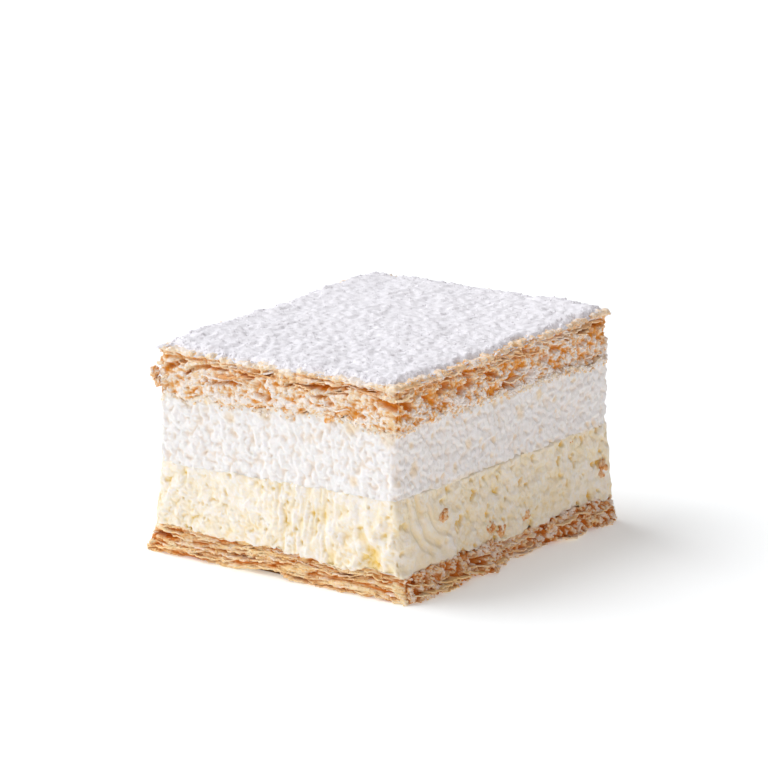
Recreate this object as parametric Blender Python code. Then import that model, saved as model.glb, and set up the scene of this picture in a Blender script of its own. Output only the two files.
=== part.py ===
"""A mille feuille slice: custard and whipped cream between two sheets of puff pastry.

The slice stands on its lower sheet with +Z up. Its shorter cut side runs along X and its longer
one along Y. The front is at -Y, so the left side is at -X. Every layer is one solid that runs
right through the slice, and neighbouring layers follow one shared surface, a small gap apart.
"""

import bpy
import bmesh
from mathutils import Matrix, Vector, noise

MM = 0.001

GAP = 0.3 * MM              # air between two layers that touch
CELLS_X = 18                # grid of a layer's top and underside
CELLS_Y = 22

# Half sizes of the cut block of custard and cream
HALF_WIDTH = 35.5 * MM
HALF_DEPTH = 45.0 * MM

# Heights above the plate at the corners: left front, right front, left back, right back
BASE_HEIGHTS = (8.6 * MM, 7.0 * MM, 8.4 * MM, 7.2 * MM)
CUSTARD_HEIGHTS = (23.0 * MM, 24.8 * MM, 23.8 * MM, 24.8 * MM)
CREAM_HEIGHTS = (40.4 * MM, 43.2 * MM, 41.0 * MM, 41.4 * MM)
LID_HEIGHTS = (52.2 * MM, 53.0 * MM, 52.6 * MM, 52.6 * MM)

# How high each of those surfaces rolls, and how long its rolls are
BASE_ROLL = (1.1 * MM, 17 * MM)
CUSTARD_ROLL = (0.5 * MM, 26 * MM)
CREAM_ROLL = (0.9 * MM, 22 * MM)
LID_ROLL = (0.7 * MM, 19 * MM)

# The lower sheet bears on a flat middle, and its rim lifts a little here and there
RIM_LIFT = 1.1 * MM
RIM_WIDTH = 9.0 * MM
LIFT_LENGTH = 12 * MM

# The lid's far right corner curls up, and its near right corner droops over the cream
CURL_HEIGHT = 1.2 * MM
CURL_REACH = 13 * MM
DROOP_DEPTH = 1.8 * MM
DROOP_REACH = 8 * MM

# How far each outline stands out from the cut block: left, right, front, back
BASE_FOOT = (3.2 * MM, 4.0 * MM, 0.0 * MM, -2.2 * MM)
BASE_HEAD = (0.8 * MM, 2.2 * MM, -0.8 * MM, -1.2 * MM)
CUSTARD_FOOT = (0.4 * MM, 1.6 * MM, 1.2 * MM, 0.4 * MM)
CUSTARD_HEAD = (-0.4 * MM, 0.0 * MM, 0.2 * MM, 0.0 * MM)
CREAM_FOOT = (-0.4 * MM, 0.0 * MM, 0.2 * MM, 0.0 * MM)
CREAM_HEAD = (-1.2 * MM, 0.0 * MM, 0.0 * MM, -0.4 * MM)
LID_FOOT = (-0.2 * MM, 0.2 * MM, 0.6 * MM, 0.8 * MM)
LID_HEAD = (0.2 * MM, -0.4 * MM, 0.0 * MM, 1.8 * MM)
BASE_TIP = 2.4 * MM         # the lower sheet's near left corner reaches further out
LID_SKEW = 2.4 * MM         # the lid is turned a little, its back end to the left

# Edge profiles from the underside up: share of the layer's height, and how far it stands out
PASTRY_EDGE = (
    (0.00, -0.7 * MM),
    (0.13, 0.5 * MM),
    (0.30, 0.9 * MM),
    (0.41, -1.3 * MM),
    (0.57, 0.7 * MM),
    (0.72, 0.4 * MM),
    (0.82, -1.2 * MM),
    (1.00, 0.2 * MM),
)
CREAM_EDGE = (
    (0.00, -0.1 * MM),
    (0.25, 0.2 * MM),
    (0.50, 0.4 * MM),
    (0.75, 0.2 * MM),
    (1.00, 0.0 * MM),
)

# Torn leaves at a pastry edge, and the softer waves of a cut side of custard or cream
TORN_DEPTH = 1.3 * MM
TORN_LENGTH = 9 * MM
FRAY_DEPTH = 0.9 * MM
FRAY_LENGTH = 3.5 * MM
TIER_WAVER = 0.09           # share of the sheet's height by which its tiers rise and fall
TIER_LENGTH = 21 * MM
CUT_DEPTH = 0.5 * MM
CUT_LENGTH = 8 * MM

PASTRY_COLOUR = (0.74, 0.47, 0.23, 1)
LID_COLOUR = (0.83, 0.64, 0.42, 1)
CUSTARD_COLOUR = (0.93, 0.82, 0.60, 1)
CREAM_COLOUR = (0.93, 0.89, 0.85, 1)


def clear_scene():
    for obj in list(bpy.data.objects):
        bpy.data.objects.remove(obj, do_unlink=True)


def make_collection(name):
    collection = bpy.data.collections.new(name)
    bpy.context.scene.collection.children.link(collection)
    return collection


def make_material(name, colour, roughness):
    material = bpy.data.materials.new(name)
    material.use_nodes = True
    material.diffuse_color = colour
    shader = material.node_tree.nodes["Principled BSDF"]
    shader.inputs["Base Color"].default_value = colour
    shader.inputs["Roughness"].default_value = roughness
    shader.inputs["Metallic"].default_value = 0.0
    return material


def mix(a, b, share):
    return a + (b - a) * share


def between_corners(corners, x, y):
    """The height at (x, y) of a surface stretched over its heights at the block's four corners."""
    across = x / (2 * HALF_WIDTH) + 0.5
    along = y / (2 * HALF_DEPTH) + 0.5
    left_front, right_front, left_back, right_back = corners
    front = mix(left_front, right_front, across)
    return mix(front, mix(left_back, right_back, across), along)


def rolling(x, y, roll, seed):
    height, length = roll
    return height * noise.noise(Vector((x / length, y / length, seed)))


def bump(x, y, centre, reach):
    """1 at the centre, falling smoothly to nothing over about twice the reach."""
    share = ((x - centre[0]) ** 2 + (y - centre[1]) ** 2) / reach**2
    return 2.0 ** -share


def droop(x, y):
    return DROOP_DEPTH * bump(x, y, (HALF_WIDTH, -HALF_DEPTH), DROOP_REACH)


def base_top(x, y):
    return between_corners(BASE_HEIGHTS, x, y) + rolling(x, y, BASE_ROLL, 1.3)


def custard_top(x, y):
    return between_corners(CUSTARD_HEIGHTS, x, y) + rolling(x, y, CUSTARD_ROLL, 2.7)


def cream_top(x, y):
    return between_corners(CREAM_HEIGHTS, x, y) + rolling(x, y, CREAM_ROLL, 3.1) - droop(x, y)


def lid_top(x, y):
    curl = CURL_HEIGHT * bump(x, y, (HALF_WIDTH, HALF_DEPTH), CURL_REACH)
    return between_corners(LID_HEIGHTS, x, y) + rolling(x, y, LID_ROLL, 4.9) + curl


def base_underside(x, y):
    """Flat on the plate, but for a rim that lifts where its leaves are warped."""
    inside = min(HALF_WIDTH - abs(x), HALF_DEPTH - abs(y))
    near_rim = min(max(1 - inside / RIM_WIDTH, 0), 1)
    warp = noise.noise(Vector((x / LIFT_LENGTH, y / LIFT_LENGTH, 6.2)))
    return RIM_LIFT * near_rim * max(2 * warp, 0)


def above(surface):
    return lambda x, y: surface(x, y) + GAP


def torn_edge(x, y, step, stand_out):
    """Leaves of pastry that broke off at uneven lengths, each tier for itself."""
    tear = noise.noise(Vector((x / TORN_LENGTH, y / TORN_LENGTH, 1.7 * step)))
    fray = noise.noise(Vector((x / FRAY_LENGTH, y / FRAY_LENGTH, 2.9 * step + 11)))
    return stand_out * (1 - tear) + TORN_DEPTH * tear + FRAY_DEPTH * fray


def cut_edge(x, y, step, stand_out):
    """A side left by a knife, in soft waves."""
    wave = noise.noise(Vector((x / CUT_LENGTH, y / CUT_LENGTH, 0.8 * step)))
    return stand_out + CUT_DEPTH * wave


def tier_waver(x, y, level):
    """Tiers of a pastry sheet rise and fall together between its underside and its top."""
    wave = noise.noise(Vector((x / TIER_LENGTH, y / TIER_LENGTH, 8.4)))
    return level + 4 * TIER_WAVER * wave * level * (1 - level)


def even(x, y, level):
    return level


def base_lean(x, y):
    """The lower sheet's near left corner stands out in a tip."""
    return -BASE_TIP * bump(x, y, (-HALF_WIDTH, -HALF_DEPTH), DROOP_REACH)


def lid_lean(x, y):
    return -LID_SKEW * y / (2 * HALF_DEPTH)


def upright(x, y):
    return 0.0


def gridded_cube(levels):
    """A unit cube cut into CELLS_X by CELLS_Y by levels cells."""
    bm = bmesh.new()
    bmesh.ops.create_cube(bm, size=1)
    for axis, cells in enumerate((CELLS_X, CELLS_Y, levels)):
        along = [e for e in bm.edges if e.verts[0].co[axis] * e.verts[1].co[axis] < 0]
        bmesh.ops.subdivide_edges(bm, edges=along, cuts=cells - 1, use_grid_fill=True)
    return bm


def outset_at(sides, across, along):
    """How far one outline stands out at a point of the block, in x and in y."""
    left, right, front, back = sides
    return mix(-left, right, across), mix(-front, back, along)


def place_vertex(co, layer):
    """Where a corner of the gridded cube goes in the layer."""
    across, along = co.x + 0.5, co.y + 0.5
    step = round((co.z + 0.5) * (len(layer["edge"]) - 1))
    level, stand_out = layer["edge"][step]
    foot = outset_at(layer["foot"], across, along)
    head = outset_at(layer["head"], across, along)
    x = 2 * HALF_WIDTH * co.x + mix(foot[0], head[0], level)
    y = 2 * HALF_DEPTH * co.y + mix(foot[1], head[1], level)
    x += layer["lean"](x, y)
    stand_out = layer["rough"](x, y, step, stand_out)
    if across in (0, 1):
        x += stand_out * (2 * across - 1)
    if along in (0, 1):
        y += stand_out * (2 * along - 1)
    height = layer["waver"](x, y, level)
    return Vector((x, y, mix(layer["floor"](x, y), layer["ceiling"](x, y), height)))


def make_layer(name, layer, material, collection):
    bm = gridded_cube(len(layer["edge"]) - 1)
    for vertex in bm.verts:
        co = Vector(round(value, 5) for value in vertex.co)
        vertex.co = place_vertex(co, layer)
    bmesh.ops.recalc_face_normals(bm, faces=bm.faces)
    mesh = bpy.data.meshes.new(name)
    bm.to_mesh(mesh)
    bm.free()
    mesh.materials.append(material)
    obj = bpy.data.objects.new(name, mesh)
    collection.objects.link(obj)
    return obj


def make_bottom_pastry(collection):
    layer = {
        "floor": base_underside,
        "ceiling": base_top,
        "foot": BASE_FOOT,
        "head": BASE_HEAD,
        "edge": PASTRY_EDGE,
        "rough": torn_edge,
        "waver": tier_waver,
        "lean": base_lean,
    }
    material = make_material("baked pastry", PASTRY_COLOUR, 0.65)
    return make_layer("bottom_pastry", layer, material, collection)


def make_custard(collection):
    layer = {
        "floor": above(base_top),
        "ceiling": custard_top,
        "foot": CUSTARD_FOOT,
        "head": CUSTARD_HEAD,
        "edge": CREAM_EDGE,
        "rough": cut_edge,
        "waver": even,
        "lean": upright,
    }
    material = make_material("vanilla custard", CUSTARD_COLOUR, 0.45)
    return make_layer("custard", layer, material, collection)


def make_whipped_cream(collection):
    layer = {
        "floor": above(custard_top),
        "ceiling": cream_top,
        "foot": CREAM_FOOT,
        "head": CREAM_HEAD,
        "edge": CREAM_EDGE,
        "rough": cut_edge,
        "waver": even,
        "lean": upright,
    }
    material = make_material("whipped cream", CREAM_COLOUR, 0.6)
    return make_layer("whipped_cream", layer, material, collection)


def make_top_pastry(collection):
    layer = {
        "floor": above(cream_top),
        "ceiling": lid_top,
        "foot": LID_FOOT,
        "head": LID_HEAD,
        "edge": PASTRY_EDGE,
        "rough": torn_edge,
        "waver": tier_waver,
        "lean": lid_lean,
    }
    material = make_material("sugared pastry", LID_COLOUR, 0.7)
    return make_layer("top_pastry", layer, material, collection)


def centre_on_plate(layers):
    """Moves the slice so that the middle of its underside is the origin."""
    points = [vertex.co for obj in layers for vertex in obj.data.vertices]
    low = [min(p[axis] for p in points) for axis in range(3)]
    high = [max(p[axis] for p in points) for axis in range(3)]
    middle = Vector(((low[0] + high[0]) / 2, (low[1] + high[1]) / 2, low[2]))
    for obj in layers:
        obj.data.transform(Matrix.Translation(-middle))


def main():
    clear_scene()
    collection = make_collection("mille_feuille_slice")
    layers = [
        make_bottom_pastry(collection),
        make_custard(collection),
        make_whipped_cream(collection),
        make_top_pastry(collection),
    ]
    centre_on_plate(layers)


main()
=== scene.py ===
import math
import random

import bpy
import bmesh
from mathutils import Matrix, Vector, noise
from mathutils.bvhtree import BVHTree


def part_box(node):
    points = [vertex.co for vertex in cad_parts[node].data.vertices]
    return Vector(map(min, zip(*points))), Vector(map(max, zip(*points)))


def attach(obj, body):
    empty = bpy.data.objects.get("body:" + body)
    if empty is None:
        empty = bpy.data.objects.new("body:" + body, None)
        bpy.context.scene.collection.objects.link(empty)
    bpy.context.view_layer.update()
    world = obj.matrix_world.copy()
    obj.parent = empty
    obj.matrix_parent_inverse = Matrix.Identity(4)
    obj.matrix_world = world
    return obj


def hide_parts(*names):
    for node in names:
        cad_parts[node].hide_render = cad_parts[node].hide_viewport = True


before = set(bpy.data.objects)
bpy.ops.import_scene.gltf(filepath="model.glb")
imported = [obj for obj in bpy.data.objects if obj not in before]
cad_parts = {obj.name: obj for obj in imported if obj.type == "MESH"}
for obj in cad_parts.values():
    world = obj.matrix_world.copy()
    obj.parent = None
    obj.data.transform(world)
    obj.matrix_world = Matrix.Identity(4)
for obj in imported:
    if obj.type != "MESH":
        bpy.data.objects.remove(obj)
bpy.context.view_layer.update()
mm = 0.001


# helpers for shapes

def mix(a, b, share):
    return a + (b - a) * share


def clamp(value, low=0.0, high=1.0):
    return max(low, min(high, value))


def ease(value):
    value = clamp(value)
    return value * value * (3 - 2 * value)


# smooth noise from about -1 to 1, its bumps about as long as size says, in mm
def waves(p, size, seed):
    return noise.noise(p / (size * mm) + Vector((17.3 * seed, 9.1 * seed, 5.7 * seed)))


# the same, drawn out by another length in each direction
def streaks(p, sizes, seed):
    drawn = Vector((p.x / sizes[0], p.y / sizes[1], p.z / sizes[2]))
    return noise.noise(drawn + Vector((3.3 * seed, 7.9 * seed, 1.7 * seed)))


# the place moved about by smooth noise, so that what is read there gets an uneven outline
def wander(p, size, seed, far):
    return p + Vector([waves(p, size, seed + axis) for axis in range(3)]) * far * mm


# round pits scattered over a surface: 0 outside them, 1 in their middle
def pits(p, size, share, seed):
    distances, centres = noise.voronoi(p / (size * mm) + Vector((seed, 2 * seed, 5 * seed)))
    if noise.cell(centres[0] * 9.7) > 2 * share - 1:
        return 0.0
    return ease(1.5 - 1.5 * distances[0] / 0.46)


# lumps packed side by side: how high each bulges, and how near the place is to a gap between two
def lumps(p, size, seed):
    distances = noise.voronoi(p / (size * mm) + Vector((seed, 2 * seed, 5 * seed)))[0]
    return 0.45 - (distances[0] / 0.75) ** 2, ease(1 - (distances[1] - distances[0]) / 0.22)


# how high the solid's top is over a place, read no nearer to its edge than keepIn, in mm
def topOf(node, keepIn):
    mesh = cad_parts[node].data
    tree = BVHTree.FromPolygons([v.co for v in mesh.vertices], [f.vertices for f in mesh.polygons])
    low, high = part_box(node)

    def height(x, y):
        x = clamp(x, low.x + keepIn * mm, high.x - keepIn * mm)
        y = clamp(y, low.y + keepIn * mm, high.y - keepIn * mm)
        hit = tree.ray_cast(Vector((x, y, high.z + mm)), Vector((0, 0, -1)))[0]
        return hit.z if hit else high.z

    return height


baseTop = topOf("bottom_pastry", 6)
custardTop = topOf("custard", 2.5)
creamTop = topOf("whipped_cream", 2.5)
lidTop = topOf("top_pastry", 5)


# where the layers meet

# how far a seam leaves the flat: a lift and then ripples, each with its height and length in mm and a seed
def ripples(x, y, lift, *parts):
    p = Vector((x, y, 0))
    return sum((far * waves(p, size, seed) for far, size, seed in parts), lift) * mm


# the near edge of the bottom sheet is lifted off the floor in one place
def baseUnderside(x, y):
    nearFront = ease(1 - (y - baseLow.y) / block["liftDepth"])
    lift = block["liftHeight"] * math.exp(-((x - block["liftedAt"]) / block["liftWidth"]) ** 2) * nearFront
    return lift + max(0.0, ripples(x, y, 0.0, (0.5, 6, 61), (0.3, 2.2, 62)))


def baseSeam(x, y):
    return baseTop(x, y) + ripples(x, y, 0.0, (0.9, 6, 63), (0.5, 2.2, 64))


def custardSeam(x, y):
    return custardTop(x, y) + ripples(x, y, 0.15, (0.5, 8, 65), (0.3, 2.6, 66))


def creamSeam(x, y):
    return creamTop(x, y) + ripples(x, y, 0.1, (0.9, 6, 67), (1.2, 2.8, 68), (0.5, 1.1, 70))


def lidSkin(x, y):
    return lidTop(x, y) + ripples(x, y, 0.0, (0.35, 7, 69), (0.35, 1.7, 79))


# the block that the knife cut, which all four layers follow

baseLow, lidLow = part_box("bottom_pastry")[0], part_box("top_pastry")[0]
creamLow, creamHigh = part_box("whipped_cream")
reliefRoom = 0.4 * mm
block = {
    "middle": (creamLow + creamHigh) / 2,
    "halfWidth": (creamHigh.x - creamLow.x) / 2 - reliefRoom,
    "halfDepth": (creamHigh.y - creamLow.y) / 2 - reliefRoom,
    "cornerRadius": 1.6 * mm,
    "liftedAt": creamHigh.x - 36 * mm, "liftHeight": 1.9 * mm, "liftWidth": 9 * mm, "liftDepth": 14 * mm,
}


# a point on the block's outline, anticlockwise from its near left corner, with the way out from it
def outlinePoint(share):
    radius = block["cornerRadius"]
    halves = (block["halfWidth"] - radius, block["halfDepth"] - radius)
    arc = math.pi / 2 * radius
    left = (share % 1.0) * outlineLength()
    for side in range(4):
        run, across = halves[side % 2], halves[1 - side % 2]
        turn = Matrix.Rotation(side * math.pi / 2, 2)
        if left < 2 * run:
            return turn @ Vector((left - run, -across - radius)), turn @ Vector((0, -1))
        left -= 2 * run
        if left < arc or side == 3:
            out = Vector((math.sin(left / radius), -math.cos(left / radius)))
            return turn @ (Vector((run, -across)) + out * radius), turn @ out
        left -= arc


def outlineLength():
    radius = block["cornerRadius"]
    return 4 * (block["halfWidth"] + block["halfDepth"] - 2 * radius) + 2 * math.pi * radius


# millimetres along the cut from the near right corner: below 0 on the front, above 0 on the right side.
# The back and the left side count in the same way from the far left corner.
def alongCut(point, out):
    x, y = point
    if out.y - out.x > 0.01:
        x, y = -x, -y
    if abs(out.y) > abs(out.x):
        return (x - block["halfWidth"]) / mm
    return (y + block["halfDepth"]) / mm


def shareAt(along):
    length, radius = outlineLength(), block["cornerRadius"]
    corner = (2 * (block["halfWidth"] - radius) + math.pi / 4 * radius) / length
    return (corner + along * mm / length) % 1.0


# millimetres to the nearest corner
def toCorner(share):
    point, out = outlinePoint(share)
    along = abs(alongCut(point, out))
    side = 2 * (block["halfWidth"] if abs(out.y) > abs(out.x) else block["halfDepth"]) / mm
    return min(along, abs(side - along))


# the smooth side of a layer: level runs from 0 at its foot to 1 at its head. The layer's own foot and
# head say how far these stand out past the block on the left, right, front and back, in mm.
def sideAt(layer, share, level):
    point, out = outlinePoint(share)
    along = alongCut(point, out)
    across = clamp(point.x / (2 * block["halfWidth"]) + 0.5)
    back = clamp(point.y / (2 * block["halfDepth"]) + 0.5)
    left, right, front, rear = (mix(foot, head, level) * mm
                                for foot, head in zip(layer["foot"], layer["head"]))
    point = point + Vector((mix(-left, right, across), mix(-front, rear, back)))
    point.x -= layer.get("skew", 0) * mm * point.y / (2 * block["halfDepth"])
    point += out * layer.get("steps", lambda along, level: 0.0)(along, level) * mm
    return Vector((point.x + block["middle"].x, point.y + block["middle"].y, 0)), out, along


def footAndHead(layer, place):
    return layer["floor"](place.x, place.y), layer["ceiling"](place.x, place.y)


# rows run from under the layer's rim, up its side and back over its top. The layer's relief is given the
# place, millimetres along the cut, up from its foot and down from its head, and 1 on the right or left
# side but 0 on the front or back. It gives how far the surface stands out, and the values of the marks.
def placeOnLayer(layer, share, run):
    under, tall, over = layer["under"], layer["tall"], layer["over"]
    # the innermost row dips out of sight, into the layer
    dip = 1.5 * mm * ease((run - under - tall - over + 0.7) / 0.6)
    level = clamp((run - under) / tall)
    inset = max(0.0, under - run) + max(0.0, run - under - tall)
    edge = layer["rounding"] / tall
    lean = ease((level - 1 + edge) / edge) - ease((edge - level) / edge)
    place, out, along = sideAt(layer, share, level)
    tucked = place - out.to_3d() * (inset + layer["rounding"] * (1 - math.sqrt(1 - lean * lean))) * mm
    floor, ceiling = footAndHead(layer, tucked)
    tucked.z = mix(floor, ceiling, level) - dip
    flat = math.sqrt(1 - min(0.85, abs(lean)) ** 2) if inset == 0 else 0.0
    facing = Vector((out.x * flat, out.y * flat, math.copysign(math.sqrt(1 - flat * flat), lean)))
    up, down = (tucked.z - layer["zero"]) / mm, (ceiling - tucked.z) / mm
    height, marks = layer["relief"](tucked, along, up, down, abs(out.x))
    tucked += facing * height * mm * (0.5 if inset > 0 else 1.0)
    tucked.z = max(tucked.z, 0.05 * mm)
    return tucked, marks, facing


# marks are values kept at each vertex, which the materials read
def startPiece(marks):
    bm = bmesh.new()
    return bm, [bm.verts.layers.float.new(mark) for mark in marks]


def makeObject(name, bm, material, smooth=True):
    mesh = bpy.data.meshes.new(name)
    bm.to_mesh(mesh)
    bm.free()
    mesh.materials.append(material)
    if smooth:
        mesh.shade_smooth()
    return addToScene(bpy.data.objects.new(name, mesh))


def addToScene(obj):
    bpy.context.scene.collection.objects.link(obj)
    return obj


def standsFor(node, obj):
    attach(obj, "root")
    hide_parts(node)


# each row under a layer or over it is this long, in mm
flatGrain = 0.6


def buildLayer(name, layer, material):
    columns = round(outlineLength() / (layer["grain"] * mm))
    lower, upper = round(layer["under"] / flatGrain), round(layer["over"] / flatGrain)
    side = round(layer["tall"] / layer["rowGrain"])
    rows = lower + side + upper
    bm, marks = startPiece(layer["marks"])
    bmesh.ops.create_cone(bm, cap_ends=True, segments=columns, radius1=1, radius2=1, depth=1)
    upright = [e for e in bm.edges if abs(e.verts[0].co.z - e.verts[1].co.z) > 0.5]
    bmesh.ops.subdivide_edges(bm, edges=upright, cuts=rows - 1)
    for vert in bm.verts:
        share = (math.atan2(vert.co.y, vert.co.x) / (2 * math.pi)) % 1.0
        share = round(share * columns) % columns / columns
        row = round((vert.co.z + 0.5) * rows)
        onSide = clamp(row - lower, 0, side)
        run = (row - onSide) * flatGrain + onSide * layer["rowGrain"]
        vert.co, values = placeOnLayer(layer, share, run)[:2]
        for mark, value in zip(marks, values):
            vert[mark] = clamp(value)
    print(name, "has", len(bm.faces), "faces")
    return makeObject(name, bm, material)


# openings in the pastry: slits between leaves, and hollows where a piece fell out

# a slit is (how far it gapes, depth, path), and its path places along the cut, each with a height
def slitDepth(slits, along, height):
    deepest = 0.0
    for width, depth, path in slits:
        first, last = path[0][0], path[-1][0]
        if along < first - 1 or along > last + 1:
            continue
        taper = 4 * (along - first + 1) * (last + 1 - along) / (last - first + 2) ** 2
        gape = width * math.sqrt(clamp(0.15 + taper, 0.1))
        for (a0, h0), (a1, h1) in zip(path, path[1:]):
            share = clamp(((along - a0) * (a1 - a0) + (height - h0) * (h1 - h0))
                          / ((a1 - a0) ** 2 + (h1 - h0) ** 2))
            off = math.hypot(along - mix(a0, a1, share), height - mix(h0, h1, share))
            deepest = max(deepest, depth * ease(1.5 - 1.5 * off / gape))
    return deepest


# a hollow is (where along the cut, height, half its length, half its height, depth, slope)
def hollowDepth(hollows, along, height):
    deepest = 0.0
    for middle, level, halfLength, halfHeight, depth, slope in hollows:
        da, dh = along - middle, height - level
        reach = math.hypot(da / halfLength, (dh - slope * da) / halfHeight)
        if reach < 1.3:
            deepest = max(deepest, depth * ease(2.0 - 1.6 * reach))
    return deepest


# thin leaves of pastry whose torn edges stick out of a side

leafGrain = 0.55
leafRows = 5


def addLeaf(bm, marks, layer, leaf, seed):
    steps = max(5, round(leaf["length"] / leafGrain))
    made = bmesh.ops.create_grid(bm, x_segments=steps, y_segments=leafRows, size=1)["verts"]
    for vert in made:
        u, v = vert.co.x, vert.co.y
        level = clamp(leaf["level"] + leaf["tilt"] * u)
        share = leaf["share"] + u * leaf["length"] / 2 * mm / outlineLength()
        place, out = sideAt(layer, share, level)[:2]
        ragged = waves(place, 3.0, seed) + waves(place, 1.2, seed + 0.5)
        ragged += 0.7 * waves(place, 0.6, seed + 0.6)
        reach = (leaf["reach"] + ragged) * (1 - abs(u) ** 4) - 1.6 * abs(u) ** 4
        inward = (1 - v) / 2 * leaf["depth"] - reach
        floor, ceiling = footAndHead(layer, place)
        rise = 0.45 * waves(place, 5, seed + 0.7) + 0.3 * waves(place, 1.1, seed + 0.8)
        rise += leaf["curl"] * ((1 + v) / 2) ** 2
        place -= out.to_3d() * inward * mm
        place.z = max(mix(floor, ceiling, level) + rise * mm, 0.35 * mm)
        vert.co = place
        # the cavity mark darkens the leaf further into the side: painted shade under the leaves above
        vert[marks[0]] = clamp(leaf["deep"] + 0.35 * waves(place, 2.5, seed + 0.2) - 0.3 * v)
        vert[marks[1]] = clamp(leaf["dust"] + 0.3 * waves(place, 3, seed + 0.4) + 0.2 * v - 0.1)
    faces = list({face for vert in made for face in vert.link_faces})
    bmesh.ops.solidify(bm, geom=faces, thickness=leaf["thick"] * mm)


def buildLeaves(name, layer, sheaf, material):
    dice = random.Random(sheaf["seed"])
    bm, marks = startPiece(layer["marks"])
    low, high = sheaf["levels"]
    for number in range(sheaf["count"]):
        share, length = (number + dice.random()) / sheaf["count"], dice.uniform(*sheaf["length"])
        length = min(length, 2 * toCorner(share) - 1.5)
        if length < 3 or dice.random() > mix(1.0, sheaf["onRight"], abs(outlinePoint(share)[1].x)):
            continue
        leaf = {
            "share": share, "length": length,
            "level": mix(low, high, dice.random()), "tilt": dice.uniform(-1, 1) * sheaf["tilt"],
            "depth": dice.uniform(3.5, 5.5), "reach": dice.uniform(*sheaf["reach"]),
            "curl": dice.uniform(*sheaf["curl"]), "thick": dice.uniform(*sheaf["thick"]),
            "deep": dice.uniform(*sheaf["deep"]), "dust": dice.uniform(*sheaf["dust"]),
        }
        addLeaf(bm, marks, layer, leaf, sheaf["seed"] + 0.37 * number)
    bmesh.ops.recalc_face_normals(bm, faces=bm.faces)
    print(name, "has", len(bm.faces), "faces")
    return makeObject(name, bm, material, smooth=False)


# helpers for nodes

def nodeAt(tree, kind, x, y, **settings):
    node = tree.nodes.new(kind)
    node.location = (x, y)
    for key, value in settings.items():
        setattr(node, key, value)
    return node


def setSockets(node, settings):
    for label, value in settings.items():
        node.inputs[label].default_value = value


# another node's output is linked to the socket, anything else is set on it
def feed(tree, socket, value):
    if hasattr(value, "is_output"):
        tree.links.new(value, socket)
    elif value is not None:
        socket.default_value = value


# grains: many small bits, each a rounded pebble of 20 faces

def grainNodes(name, material, stretch):
    tree = bpy.data.node_groups.new(name, "GeometryNodeTree")
    tree.interface.new_socket("Geometry", in_out="INPUT", socket_type="NodeSocketGeometry")
    tree.interface.new_socket("Geometry", in_out="OUTPUT", socket_type="NodeSocketGeometry")
    given = nodeAt(tree, "NodeGroupInput", -700, 0)
    made = nodeAt(tree, "NodeGroupOutput", 700, 0)
    pebble = nodeAt(tree, "GeometryNodeMeshIcoSphere", -500, -150)
    setSockets(pebble, {"Radius": 1.0, "Subdivisions": 1})
    size = nodeAt(tree, "GeometryNodeInputNamedAttribute", -500, -350, data_type="FLOAT")
    setSockets(size, {"Name": "size"})
    shape = nodeAt(tree, "FunctionNodeRandomValue", -500, -550, data_type="FLOAT_VECTOR")
    setSockets(shape, {0: [1 - stretch] * 3, 1: [1 + stretch] * 3})
    turn = nodeAt(tree, "FunctionNodeRandomValue", -500, -800, data_type="FLOAT_VECTOR")
    setSockets(turn, {1: [6.28] * 3})
    scale = nodeAt(tree, "ShaderNodeVectorMath", -250, -450, operation="SCALE")
    spots = nodeAt(tree, "GeometryNodeInstanceOnPoints", 0, 0)
    real = nodeAt(tree, "GeometryNodeRealizeInstances", 200, 0)
    soften = nodeAt(tree, "GeometryNodeSetShadeSmooth", 350, 0)
    dress = nodeAt(tree, "GeometryNodeSetMaterial", 500, 0)
    setSockets(dress, {"Material": material})
    for giver, taker, label in ((given, spots, "Points"), (pebble, spots, "Instance"), (shape, scale, 0),
                                (size, scale, "Scale"), (scale, spots, "Scale"), (turn, spots, "Rotation"),
                                (spots, real, 0), (real, soften, 0), (soften, dress, 0), (dress, made, 0)):
        tree.links.new(giver.outputs[0], taker.inputs[label])
    return tree


# spots holds (place, radius in mm, then one value for each mark)
def buildGrains(name, spots, marks, material, stretch=0.3):
    mesh = bpy.data.meshes.new(name)
    mesh.from_pydata([spot[0] for spot in spots], [], [])
    sizes = mesh.attributes.new("size", "FLOAT", "POINT")
    sizes.data.foreach_set("value", [spot[1] * mm for spot in spots])
    for number, mark in enumerate(marks):
        values = mesh.attributes.new(mark, "FLOAT", "POINT")
        values.data.foreach_set("value", [clamp(spot[2 + number]) for spot in spots])
    mesh.materials.append(material)
    obj = addToScene(bpy.data.objects.new(name, mesh))
    scatter = obj.modifiers.new("grains", "NODES")
    scatter.node_group = grainNodes(name, material, stretch)
    print(name, "has", len(spots), "grains")
    return obj


# shader groups

# an input's kind follows from its default: none for a vector, a tuple for a colour, a number for a value
def newGroup(name, inputs, output, kind):
    group = bpy.data.node_groups.new(name, "ShaderNodeTree")
    for label, default in inputs.items():
        given = "Vector" if default is None else "Color" if isinstance(default, tuple) else "Float"
        socket = group.interface.new_socket(label, in_out="INPUT", socket_type="NodeSocket" + given)
        if default is not None:
            socket.default_value = default
    group.interface.new_socket(output, in_out="OUTPUT", socket_type="NodeSocket" + kind)
    source = nodeAt(group, "NodeGroupInput", -900, 0)
    sink = nodeAt(group, "NodeGroupOutput", 900, 0)
    return group, source.outputs, sink.inputs[0]


def maths(tree, x, y, operation, first, second):
    node = nodeAt(tree, "ShaderNodeMath", x, y, operation=operation)
    feed(tree, node.inputs[0], first)
    feed(tree, node.inputs[1], second)
    return node.outputs[0]


def mixColours(tree, x, y, factor, first, second):
    node = nodeAt(tree, "ShaderNodeMix", x, y, data_type="RGBA")
    for number, value in ((0, factor), (6, first), (7, second)):
        feed(tree, node.inputs[number], value)
    return node.outputs[2]


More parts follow.
